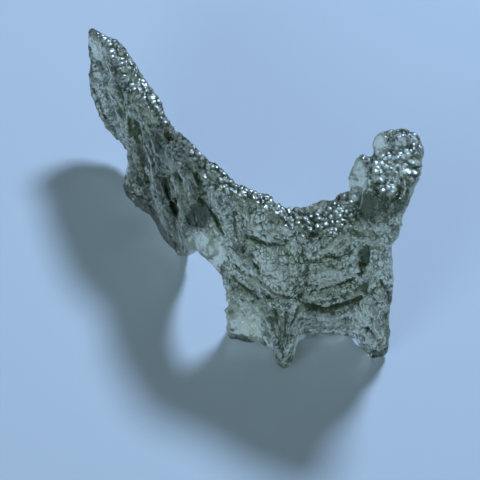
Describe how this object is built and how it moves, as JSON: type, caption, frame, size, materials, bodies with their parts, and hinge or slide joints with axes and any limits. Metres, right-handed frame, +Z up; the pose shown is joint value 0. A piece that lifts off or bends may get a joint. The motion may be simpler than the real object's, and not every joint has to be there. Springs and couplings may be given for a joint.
{
  "type": "moldavite",
  "caption": "Sculpted natural green glass: a folded, deeply etched sheet standing on low feet, with a tapering wing at one end and an overhanging horn at the other.",
  "frame": {"origin": "centre of the underside of the bounding box, on the plane that the feet stand on", "axes": "+Z up; the broad panel faces -Y, the wing runs back to the left towards -X and +Y, and the horn stands at the right end, +X"},
  "size_m": [0.0302, 0.03, 0.0236],
  "materials": {
    "moldavite_glass": "etched satin with small glossy cups"
  },
  "bodies": {
    "root": {"moldavite": "moldavite_glass"}
  },
  "joints": []
}
